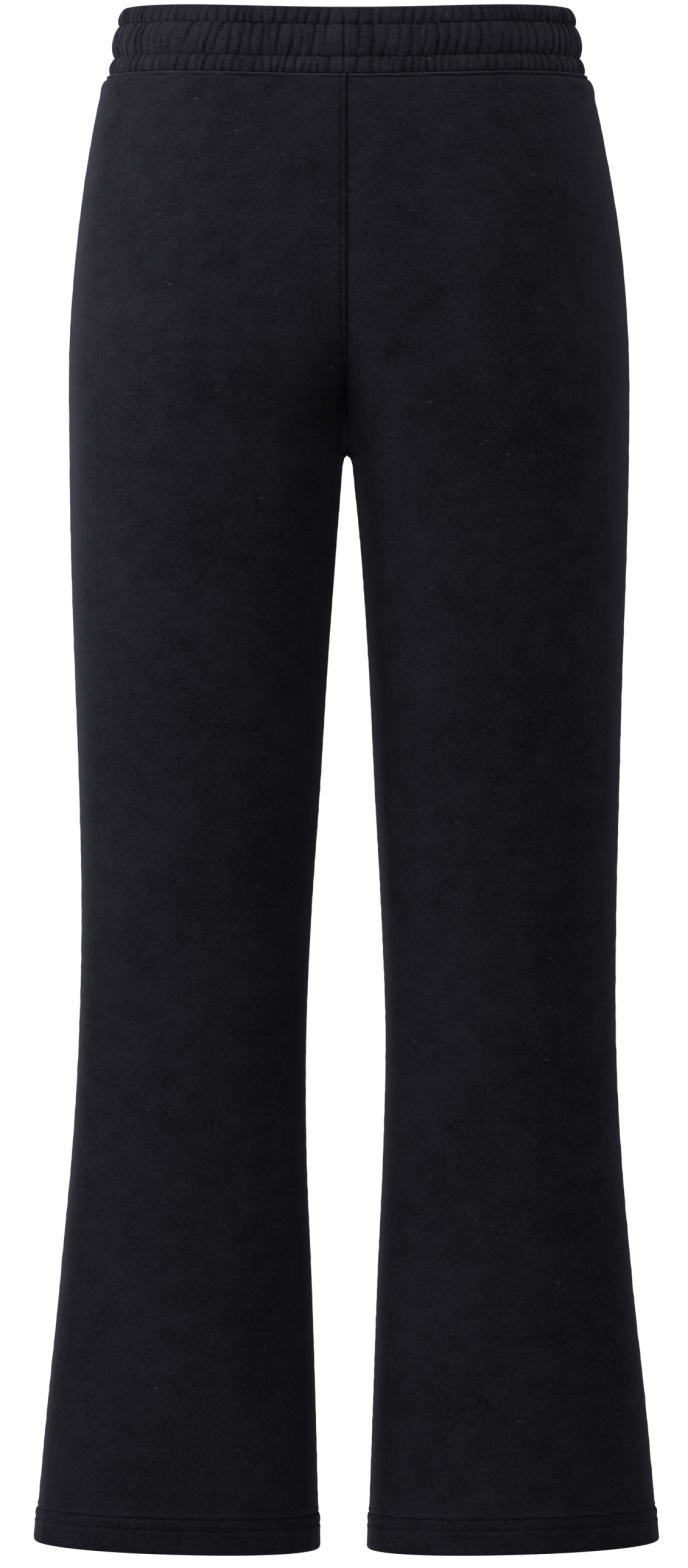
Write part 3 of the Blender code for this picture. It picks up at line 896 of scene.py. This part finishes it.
def ring_lines(quarters, levels, flat=False):
    """Closed lines round the cloth, one for each level, through the (side, face) quarters."""
    runs = []
    for index, (side, face) in enumerate(quarters):
        x, y = half_section(levels, side, face, flat)
        run = np.stack([SIGN[side] * x, SIGN[face] * y], axis=-1)
        runs.append(run[:, :-1] if index % 2 == 0 else run[:, :0:-1])
    lines = np.concatenate(runs, axis=1)
    return np.concatenate([lines, lines[:, :1]], axis=1)


def hem_ring(side):
    """The quarters that a leg's hem runs through."""
    return (side, "back"), (side, "front")


def ring_out(lines):
    """The level way out at each point of each closed line."""
    ahead = np.concatenate([lines[:, 1:], lines[:, 1:2]], axis=1)
    behind = np.concatenate([lines[:, -2:-1], lines[:, :-1]], axis=1)
    step = ahead - behind
    area = np.sum(lines[:, :-1, 0] * lines[:, 1:, 1] - lines[:, :-1, 1] * lines[:, 1:, 0])
    return unit(math.copysign(1, area) * np.stack([step[..., 1], -step[..., 0]], axis=-1))


def closed_run(quarters, level, count, flat=False):
    """A closed line at a level, and a count of steps along it with their points and ways out."""
    line = ring_lines(quarters, [level], flat)
    steps = np.linspace(0, lengths(line[0])[-1], count)
    points = resampled(line, [steps])[0]
    return line[0], steps, points, ring_out(points[None])[0]


def level_row(places, height, out):
    """A closed row of stitches or cloth: its points at a height, and the way out at each."""
    heights = np.broadcast_to(height, len(places))
    return warped(np.column_stack([places, heights])), np.column_stack([out, np.zeros(len(out))])


def closed_tube(places, heights):
    """Points of cloth that closes round the garment and round its own profile."""
    points = warped(np.dstack([places, heights]))
    points[-1] = points[0]
    points[:, -1] = points[:, 0]
    return points


def band_profile():
    """The waistband's closed profile, as levels, how far out, and the share of gathers there."""
    face, out, share = [], [], []
    for tunnel, puff in enumerate(BAND_PUFF):
        low, high = BAND_ROWS[tunnel:tunnel + 2]
        t = np.sin(np.linspace(0, math.pi / 2, BAND_STEPS[tunnel] + 1)) ** 2
        last = tunnel == len(BAND_PUFF) - 1
        t = t if last else t[:-1]
        swell = (4 * t * (1 - t)) ** 0.85
        face.append(low + (high - low) * t)
        out.append(np.interp(face[-1], BAND_ROWS, BAND_OUT) + puff * swell)
        fade = 1 - 0.55 * t**3 if last else 1
        share.append((0.35 + 0.65 * (4 * t * (1 - t)) ** 0.35) * fade)
    inside = np.array(BAND_INSIDE)
    down = inside[1] + (inside[2] - inside[1]) * np.linspace(0, 1, 6)[:, None]
    levels = np.concatenate([*face, inside[:1, 0], down[:, 0], BAND_ROWS[:1]])
    outs = np.concatenate([*out, inside[:1, 1], down[:, 1], BAND_OUT[:1]])
    shares = np.concatenate([*share, [0.15], np.zeros(6), share[0][:1]])
    return levels, outs, shares


def hidden_gathers(start, end, tunnel):
    """Creases of the waistband's front, like the back's, as (places round it, upper, lower)."""
    chance = np.random.default_rng(40 + tunnel)
    pitch = settings().gathers.pitch * (0.86, 1.25, 0.92)[tunnel]
    creases = []
    at = start
    while at < end:
        lean, bow = chance.normal(0, 0.0013), chance.normal(0, 0.0006)
        upper, lower = chance.choice([0.3, 0.6, 0.8, 1.0, 1.1], 2)
        creases.append(((at + lean, at + bow, at - lean), upper, lower))
        edge = min(at - start, end - at)
        at += pitch * (0.62 + 0.38 * min(edge / 0.05, 1)) * chance.uniform(0.65, 1.35)
    return creases


def band_relief(steps, levels, total, around):
    """How gathers lift the waistband's face at each level and step round it, and its painted
    shading.
    """
    look = settings().gathers
    relief = np.zeros((len(levels), len(steps)))
    nap = np.zeros(relief.shape)
    sides = [around(x) for x in BAND_SIDES]
    crowded = 1 + 0.5 * sum(mound(steps, at, 0.030) for at in sides)[None, :]
    for tunnel, rows in enumerate(GATHERS):
        low, high = BAND_ROWS[tunnel:tunnel + 2]
        inside = np.flatnonzero((levels >= low - 0.0001) & (levels <= high + 0.0001))
        t = ((levels[inside] - low) / (high - low))[:, None]
        creases = [([around(x / 1000) for x in places], upper, lower)
                   for *places, upper, lower in rows]
        ends = creases[-1][0][-1] + 0.003, creases[0][0][-1] - 0.003
        part = np.zeros((len(inside), len(steps)))
        for places, upper, lower in creases + hidden_gathers(*ends, tunnel):
            curve = np.polyfit(np.linspace(1, 0, len(places)), places, len(places) - 1)
            line = np.polyval(curve, t)
            gap = (steps[None, :] - line + total / 2) % total - total / 2
            width = look.width * (0.85 + 0.3 * abs(math.sin(places[0] * 611)))
            depth = look.depth * (lower + (upper - lower) * t**1.4)
            valley = 0.75 * mound(gap, 0, width) + 0.25 * np.exp(-abs(gap) / (2.2 * width))
            part -= crowded * depth * valley
        # Painted shade in the creases, darkest at a main crease, and a painted highlight on the
        # ridges between them.
        nap[inside] = np.clip(0.85 + 1.0 * part / look.depth, -1, 0.85)
        part += 0.00018 * wander(steps, total / np.array([97, 131, 211]), 80 + tunnel)[None, :]
        relief[inside] = part + 0.0006
    pull = dimples(steps, settings().stitching.pitch)[None, :]
    for row in BAND_ROWS[1:3]:
        drift = 0.0003 * wander(steps, total / np.array([37, 71, 113]), 90)[None, :]
        groove = mound(levels[:, None], row + drift, 0.0009)
        relief -= (0.0001 + 0.0007 * pull) * groove
        # Painted shade along each stitched row, darkest at the needle holes.
        nap -= (0.05 + 0.60 * pull) * groove
    # Painted shade along the waist seam's row.
    nap -= 0.1 * mound(levels, BAND_ROWS[0], 0.0011)[:, None]
    joint = (steps - around(BAND_JOINT) + total / 2) % total - total / 2
    strength = np.interp(levels, BAND_ROWS, (0.4, 0.8, 1.0, 0.1))[:, None]
    cut = strength * np.exp(-((abs(joint) / 0.0008) ** 1.6))[None, :]
    # Painted shade in the joint at centre back.
    return relief - 0.0019 * cut, np.clip(nap - 1.1 * cut, -1, 1)


def build_waistband():
    """The gathered band, a flat tube of cloth over elastic, joined at centre back."""
    line, steps, flat, out = closed_run(WAIST_RING, WAIST_SEAM, BAND_COLUMNS, flat=True)
    total = steps[-1]
    levels, outs, shares = band_profile()
    half = len(ANGLES) * 2 - 1
    along = lengths(line)

    def around(x):
        """How far round the band a place at the back is, from how far across it lies."""
        quarter_line = slice(None, half) if x >= 0 else slice(-half, None)
        return float(np.interp(x, line[quarter_line, 0], along[quarter_line]))

    relief, nap = band_relief(steps, levels, total, around)
    relief *= shares[:, None]
    offset = outs[:, None] + relief
    places = flat[None] + out[None] * offset[..., None]
    heights = levels[:, None] + 0.25 * relief * (levels[:, None] > 0.019)
    points = closed_tube(places, heights)
    profile = lengths(np.column_stack([levels, outs]))
    uv = flat_map(steps, profile[:, None])
    nap[:, -1] = nap[:, 0]
    cloth = [shared("gathered_fleece", fleece)]
    band = grid_piece("waistband_cloth", points, uv, cloth, 1, nap * (shares[:, None] > 0.1))
    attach(band, "root")
    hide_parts("waistband")
    return band, total


def hem_profile():
    """A hem's closed profile as levels and how far out, down its face and up inside."""
    face = np.linspace(HEM_SEAM, HEM_FOLD + 0.0022, HEM_STEPS[0])
    bend = np.radians(np.linspace(0, 180, 9)[1:-1])
    inside = np.linspace(HEM_FOLD + 0.0022, HEM_SEAM + 0.0030, HEM_STEPS[1])
    fold = HEM_FOLD + 0.0021 - 0.0021 * np.sin(bend)
    levels = np.concatenate([face, fold, inside, inside[-1:], face[:1] - 0.0008, face[:1]])
    outs = np.concatenate([
        np.full(HEM_STEPS[0], 0.0009), -0.0011 + 0.0020 * np.cos(bend),
        np.full(HEM_STEPS[1], -0.0031), (-0.0027, -0.0022, 0.0009),
    ])
    return levels, outs


def build_hem(side):
    """A leg's turned-up hem, a doubled ring that stands a little proud of the leg."""
    sewing = settings().stitching
    levels, outs = hem_profile()
    lines = ring_lines(hem_ring(side), levels)
    totals = np.array([lengths(line)[-1] for line in lines])
    share = np.linspace(0, 1, HEM_COLUMNS)
    steps = totals[:, None] * share
    flat = resampled(lines, steps)
    out = ring_out(flat)
    around = share * totals[0]
    down = HEM_SEAM - levels
    face = (np.arange(len(levels)) < HEM_STEPS[0] + 2)[:, None] & (down < 0.0220)[:, None]
    pull = dimples(around + 0.0016, sewing.pitch)[None, :]
    relief = np.zeros((len(levels), len(share)))
    nap = np.zeros(relief.shape)
    for row in (0.0, sewing.gauge):
        waves = totals[0] / np.array([23, 41, 67])
        drift = 0.00018 * wander(around, waves, 8 if row else 7)[None, :]
        groove = mound(down[:, None], row + 0.0004 + drift, 0.0009)
        relief -= (0.0003 + 0.0006 * pull) * groove
        # Painted shade in the stitched grooves, darkest at the needle holes.
        nap -= ((0.10 if row else 0.0) + 0.60 * pull) * groove
    relief -= 0.0006 * np.exp(-np.maximum(down, 0) / 0.0008)[:, None]
    # A painted highlight on the puff just under the lower row.
    nap += 0.25 * mound(down, sewing.gauge + 0.0022, 0.0012)[:, None]
    relief += 0.00035 * mound(down, 0.5 * sewing.gauge, 0.0024)[:, None]
    relief += 0.00030 * mound(down, sewing.gauge + 0.0024, 0.0016)[:, None]
    waves = totals[0] / np.array([10, 19, 41])
    relief += 0.00025 * wander(around, waves, 61 + SIGN[side])[None, :]
    seams = (0.0, 0.5 * totals[0], totals[0])
    relief -= 0.0006 * sum(mound(around, at, 0.0012) for at in seams)[None, :]
    offset = outs[:, None] + relief * face
    places = flat + out * offset[..., None]
    heights = np.broadcast_to(levels[:, None], places.shape[:2])
    points = closed_tube(places, heights)
    profile = lengths(np.column_stack([levels, outs]))
    laid = CUT_APART * (2 + (side == "right")) - SIGN[side] * around
    uv = flat_map(laid, -profile[:, None])
    nap[:, -1] = nap[:, 0]
    nap = np.clip(nap, -1, 1) * face
    cloth = [shared("napped_fleece", fleece)]
    hem = grid_piece(f"hem_{side}_cloth", points, uv, cloth, -SIGN[side], nap)
    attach(hem, "root")
    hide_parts(f"hem_{side}")
    return hem, totals[0]


def joined(name, tubes, materials):
    """One piece from several tubes of (points, uv), each with its open ends closed."""
    parts = [grid_piece(name, points, uv, materials, -1) for points, uv in tubes]
    bm = bmesh.new()
    for part in parts:
        bm.from_mesh(part.data)
        if part is not parts[0]:
            bpy.data.objects.remove(part)
    bmesh.ops.holes_fill(bm, edges=[e for e in bm.edges if e.is_boundary])
    bm.to_mesh(parts[0].data)
    bm.free()
    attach(parts[0], "root")
    return parts[0]


def oval_tube(middle, across, up, width, thick, turn, closed):
    """An oval tube's points round a row of middles, from its half width and half thickness."""
    ring = (
        middle[:, None]
        + width * np.cos(turn)[None, :, None] * across[:, None]
        + thick * np.sin(turn)[None, :, None] * up[:, None]
    )
    if closed:
        ring[-1] = ring[0]
    return ring


def thread_piece(name, rows, pitch):
    """Rows of stitches in one piece, each a thread that dips into the cloth at its needle holes.

    A row is its points along the cloth, the way out at each of them, and whether it closes.
    """
    size = settings().stitching.thread / 2
    steps_a_stitch, sides = 6, 6
    turn = np.linspace(0, 2 * math.pi, sides + 1)
    tubes = []
    for points, out, closed in rows:
        along = lengths(points)
        count = round(along[-1] / pitch)
        steps = np.linspace(0, 1, count * steps_a_stitch + 1)
        at = steps * along[-1]
        middle, up = (
            np.column_stack([np.interp(at, along, part) for part in values.T])
            for values in (points, out)
        )
        run = run_of(middle, closed)
        if closed:
            up[-1] = up[0]
        across = unit(np.cross(run, up))
        up = unit(np.cross(across, run))
        arch = np.abs(np.sin(math.pi * count * steps)) ** 0.6
        middle = middle + up * size * (2.6 * arch - 2.2)[:, None]
        ring = oval_tube(middle, across, up, 1.15 * size, size, turn, closed)
        tubes.append((ring, flat_map(turn * size, at[:, None])))
    return joined(name, tubes, [shared("black_thread", twisted_thread)])


def allowance(name, rows):
    """Overlocked seam allowances on the wrong side of the cloth.

    A row is its seam's points, the way out at each, which side it lies to, and whether it closes.
    """
    width, thick = ALLOWANCE
    turn = np.linspace(0, 2 * math.pi, 13)
    tubes = []
    for points, out, side, closed in rows:
        across = unit(np.cross(run_of(points, closed), out))
        sunk = points - out * (CLOTH + SEAM_ROLL + 0.3 * thick)
        middle = sunk + across * ALLOWANCE_SHIFT * side
        ring = oval_tube(middle, across, out, 0.5 * width, 0.5 * thick, turn, closed)
        tubes.append((ring, flat_map(turn * 0.5 * width, lengths(points)[:, None])))
    return joined(name, tubes, [shared("overlocked_edge", overlocked_edge)])


def seam_allowances():
    """The allowances of the rise, the inseams, the side seams and the waist."""
    counts = ALLOWANCE_POINTS
    top = WAIST_SEAM - 0.0012
    levels = np.linspace(CROTCH, top, counts["rise"])
    _, back = half_section(levels, "left", "back")
    _, front = half_section(levels, "left", "front")
    along = np.concatenate([-back[::-1, 0], front[1:, 0]])
    up = np.concatenate([levels[::-1], levels[1:]])
    rise = np.column_stack([np.zeros(len(along)), along, up])
    down = unit(np.cross(np.gradient(rise, axis=0), (1.0, 0.0, 0.0)))
    rows = [(warped(rise), down, -1, False)]

    low = HEM_SEAM + 0.0012
    inseam = np.linspace(low, CROTCH - 0.003, counts["inseam"])
    side_seam = np.linspace(low, top, counts["side"])
    for side in ("left", "right"):
        for levels, index in ((inseam, 0), (side_seam, -1)):
            x, _ = half_section(levels, side, "back")
            places = np.column_stack([SIGN[side] * x[:, index], np.zeros(len(levels)), levels])
            way = SIGN[side] if index else -SIGN[side]
            rows.append((warped(places), np.tile([way, 0.0, 0.0], (len(levels), 1)), way, False))

    _, _, flat, out = closed_run(WAIST_RING, WAIST_SEAM, counts["waist"], flat=True)
    rows.append((*level_row(flat, WAIST_SEAM - 0.0019, out), 1, True))
    return allowance("seam_allowances", rows)


def band_stitches():
    """The two rows that hold the elastic in its tunnels."""
    _, steps, flat, out = closed_run(
        WAIST_RING, WAIST_SEAM, BAND_STITCH_POINTS, flat=True,
    )
    rows = []
    for row in (1, 2):
        places = flat + out * (BAND_OUT[row] - 0.0004)
        height = BAND_ROWS[row] + 0.00025 * wander(steps, steps[-1] / np.array([21, 46, 79]), row)
        rows.append((*level_row(places, height, out), True))
    return thread_piece("waistband_stitches", rows, settings().stitching.pitch)


def hem_stitches(side):
    """A hem's two rows, the upper one over the seam where the leg ends."""
    sewing = settings().stitching
    rows = []
    for row in (0.0, sewing.gauge):
        level = HEM_SEAM - row
        _, _, flat, out = closed_run(hem_ring(side), level, HEM_STITCH_POINTS)
        places = flat + out * (0.0002 if row else -0.0004)
        rows.append((*level_row(places, level, out), True))
    return thread_piece(f"hem_{side}_stitches", rows, sewing.pitch)


def rise_stitches():
    """The topstitching beside the rise seam, up the back and up the front."""
    sewing = settings().stitching
    rows = []
    levels = np.linspace(CROTCH + 0.008, WAIST_SEAM - 0.004, RISE_STITCH_POINTS)
    for face in ("back", "front"):
        x, y = half_section(levels, "left", face)
        lines = np.stack([-x, y * SIGN[face]], axis=-1)
        at = resampled(lines, np.full((len(levels), 1), sewing.seat))[:, 0]
        points = np.column_stack([at, levels])
        out = np.tile([0.0, SIGN[face], 0.0], (len(levels), 1))
        rows.append((warped(points + out * 0.0001), out, False))
    return thread_piece("rise_stitches", rows, sewing.pitch)


class GARMENT_OT_panels(bpy.types.Operator):
    """Add the four leg panels, each a thin shell of fleece with its seams and folds"""

    bl_idname = "garment.add_panels"
    bl_label = "Add Panels"

    def execute(self, context):
        for side in ("left", "right"):
            for face in ("back", "front"):
                panel = build_panel(side, face)
        return {"FINISHED"}


class GARMENT_OT_waistband(bpy.types.Operator):
    """Add the gathered waistband, its joint at centre back and its two stitched rows"""

    bl_idname = "garment.add_waistband"
    bl_label = "Add Waistband"

    def execute(self, context):
        band, total = build_waistband()
        stitches = band_stitches()
        return {"FINISHED"}


class GARMENT_OT_hems(bpy.types.Operator):
    """Add the two turned hems, each with its twin rows of stitches"""

    bl_idname = "garment.add_hems"
    bl_label = "Add Hems"

    def execute(self, context):
        for side in ("left", "right"):
            hem, total = build_hem(side)
            stitches = hem_stitches(side)
        return {"FINISHED"}


class GARMENT_OT_rise(bpy.types.Operator):
    """Add the topstitching that runs beside the rise seam at back and front"""

    bl_idname = "garment.add_rise_stitches"
    bl_label = "Add Rise Stitches"

    def execute(self, context):
        rise_stitches()
        return {"FINISHED"}


class GARMENT_OT_allowances(bpy.types.Operator):
    """Add the overlocked seam allowances inside the legs and the seat"""

    bl_idname = "garment.add_allowances"
    bl_label = "Add Seam Allowances"

    def execute(self, context):
        seam_allowances()
        return {"FINISHED"}


class GARMENT_OT_stage(bpy.types.Operator):
    """Add the pale floor, the soft lights and the camera"""

    bl_idname = "garment.add_stage"
    bl_label = "Add Stage"

    def execute(self, context):
        stage = settings().stage
        scene = context.scene
        scene.view_settings.view_transform = "Standard"
        world = bpy.data.worlds.new("studio")
        world.use_nodes = True
        sky = world.node_tree
        seen = node(sky, "LightPath").outputs["Is Camera Ray"]
        glow = node(sky, "Mix", {0: seen, 2: stage.glow, 3: BACKDROP}).outputs[0]
        feed(sky, sky.nodes["Background"], {"Color": (1, 1, 1, 1), "Strength": glow})
        scene.world = world

        bm = bmesh.new()
        bmesh.ops.create_grid(bm, x_segments=2, y_segments=2, size=FLOOR_HALF)
        bmesh.ops.translate(bm, verts=bm.verts, vec=(0, 0, HEM_FOLD - stage.drop))
        mesh = bpy.data.meshes.new("floor")
        bm.to_mesh(mesh)
        bm.free()
        material, tree, shader = new_material("pale_floor")
        place = node(tree, "TexCoord").outputs["Object"]
        speckle = noise(tree, place, 3.0, 2.0)
        low, high = ((tone, tone, tone, 1) for tone in FLOOR_TONES)
        seen = node(tree, "LightPath").outputs["Is Camera Ray"]
        feed(tree, shader, {
            "Base Color": blend(tree, speckle, low, high),
            "Roughness": 0.9,
            "Emission Color": (1, 1, 1, 1),
            "Emission Strength": times(tree, seen, FLOOR_LIFT),
        })
        mesh.materials.append(material)
        floor = bpy.data.objects.new("floor", mesh)
        scene.collection.objects.link(floor)

        for key, place, aim, size in LAMPS:
            lamp = bpy.data.lights.new(key + "_light", "AREA")
            lamp.energy = getattr(stage, key)
            lamp.size = size
            light = bpy.data.objects.new(key + "_light", lamp)
            light.location = place
            light.visible_camera = False
            way = Vector(aim) - Vector(place)
            light.rotation_euler = way.to_track_quat("-Z", "Y").to_euler()
            scene.collection.objects.link(light)

        lens = bpy.data.cameras.new("camera")
        lens.lens = FILM * stage.distance / VIEW_WIDTH
        lens.clip_end = 200.0
        camera = bpy.data.objects.new("camera", lens)
        camera.location = (CAMERA_PLACE[0], -stage.distance, CAMERA_PLACE[1])
        camera.rotation_euler = (math.pi / 2 - math.atan(CAMERA_DROP / stage.distance), 0, 0)
        scene.collection.objects.link(camera)
        scene.camera = camera
        return {"FINISHED"}


class GARMENT_PT_sweatpants(bpy.types.Panel):
    """Buttons that add the garment's pieces, and the sizes and colours they use."""

    bl_idname = "GARMENT_PT_sweatpants"
    bl_label = "Flared Sweatpants"
    bl_space_type = "VIEW_3D"
    bl_region_type = "UI"
    bl_category = "Sweatpants"

    def draw(self, context):
        for operator in OPERATORS:
            self.layout.operator(operator.bl_idname)
        garment = settings()
        for group in (garment.fleece, garment.gathers, garment.stitching, garment.stage):
            box = self.layout.box()
            for key in group.__annotations__:
                box.prop(group, key)


class Sweatpants(bpy.types.PropertyGroup):
    """All of the garment's settings."""

    fleece: PointerProperty(type=SweatpantsFleece)
    gathers: PointerProperty(type=SweatpantsGathers)
    stitching: PointerProperty(type=SweatpantsStitching)
    stage: PointerProperty(type=SweatpantsStage)


OPERATORS = (
    GARMENT_OT_panels, GARMENT_OT_waistband, GARMENT_OT_hems, GARMENT_OT_rise,
    GARMENT_OT_allowances, GARMENT_OT_stage,
)
CLASSES = (
    SweatpantsFleece, SweatpantsGathers, SweatpantsStitching, SweatpantsStage, Sweatpants,
    *OPERATORS, GARMENT_PT_sweatpants,
)


def register():
    """Adds the classes and the garment's settings to Blender."""
    for cls in CLASSES:
        bpy.utils.register_class(cls)
    bpy.types.Scene.sweatpants = PointerProperty(type=Sweatpants)


def unregister():
    """Takes them out again."""
    del bpy.types.Scene.sweatpants
    for cls in reversed(CLASSES):
        bpy.utils.unregister_class(cls)


def main():
    """Makes the garment and its stage."""
    register()
    bpy.ops.garment.add_panels()
    bpy.ops.garment.add_waistband()
    bpy.ops.garment.add_hems()
    bpy.ops.garment.add_rise_stitches()
    bpy.ops.garment.add_allowances()
    bpy.ops.garment.add_stage()


if __name__ == "__main__":
    main()
